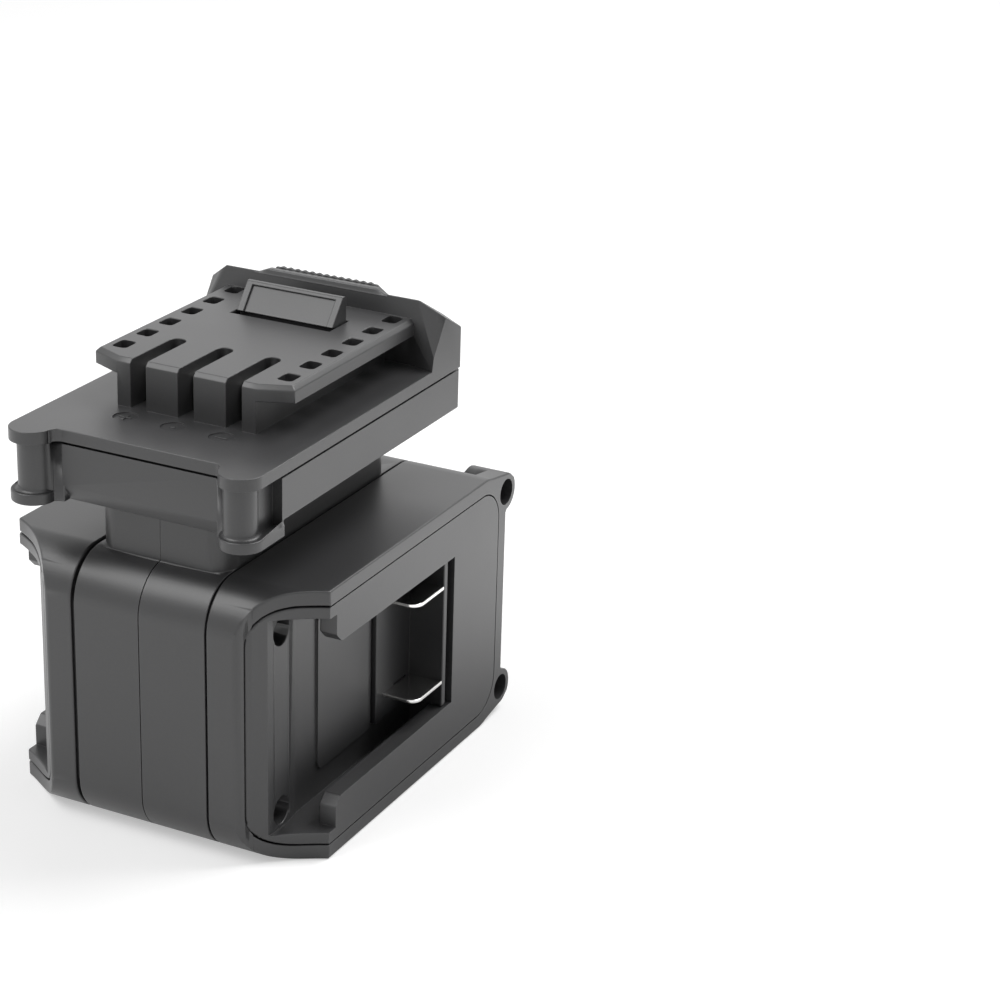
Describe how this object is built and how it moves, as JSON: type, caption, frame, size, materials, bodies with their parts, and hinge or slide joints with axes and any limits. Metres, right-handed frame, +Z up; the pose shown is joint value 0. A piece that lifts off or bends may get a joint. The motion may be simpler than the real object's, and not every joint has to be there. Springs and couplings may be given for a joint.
{
  "type": "tool battery adapter",
  "caption": "Battery adapter with a slide rail head on a neck and a rail socket with contact blades on each side of its housing; a sprung latch locks the head.",
  "frame": {"origin": "centre of the bounding box in plan, on the base plane", "axes": "+X to the right socket, -Y to the front face, +Z up to the slide head"},
  "size_m": [0.0744, 0.0988, 0.1026],
  "materials": {
    "case_plastic": "fine spark-eroded moulding grain, satin",
    "inner_plastic": "smooth moulded",
    "nickel": "bright nickel plate",
    "screw_steel": "plain zinc-plated",
    "red_insulation": "soft insulation",
    "black_insulation": "soft insulation"
  },
  "bodies": {
    "case": {"band_left": "case_plastic", "band_right": "case_plastic", "shell_left": "case_plastic", "shell_right": "case_plastic", "socket_left": "case_plastic", "socket_right": "case_plastic", "terminal_block_left": "inner_plastic", "terminal_block_right": "inner_plastic", "blade_upper_left": "nickel", "blade_lower_left": "nickel", "blade_upper_right": "nickel", "blade_lower_right": "nickel", "housing_screws_left": "screw_steel", "housing_screws_right": "screw_steel", "tray": "case_plastic", "slide_cover": "case_plastic", "contact_holder": "inner_plastic", "contact_clip_positive": "nickel", "contact_clip_signal": "nickel", "contact_clip_negative": "nickel", "latch_spring_left": "screw_steel", "latch_spring_right": "screw_steel", "cover_screws": "screw_steel", "neck_screws": "screw_steel", "lead_upper_left": "red_insulation", "lead_lower_left": "black_insulation", "lead_upper_right": "red_insulation", "lead_lower_right": "black_insulation"},
    "latch": {"latch": "case_plastic"}
  },
  "joints": [
    {"name": "latch_press", "type": "slide", "parent": "case", "child": "latch", "axis": [0, 0, -1], "range_m": [0, 0.0055], "stiffness_N_per_m": 900, "springref_m": -0.003, "deforming": ["latch_spring_left", "latch_spring_right"]}
  ]
}
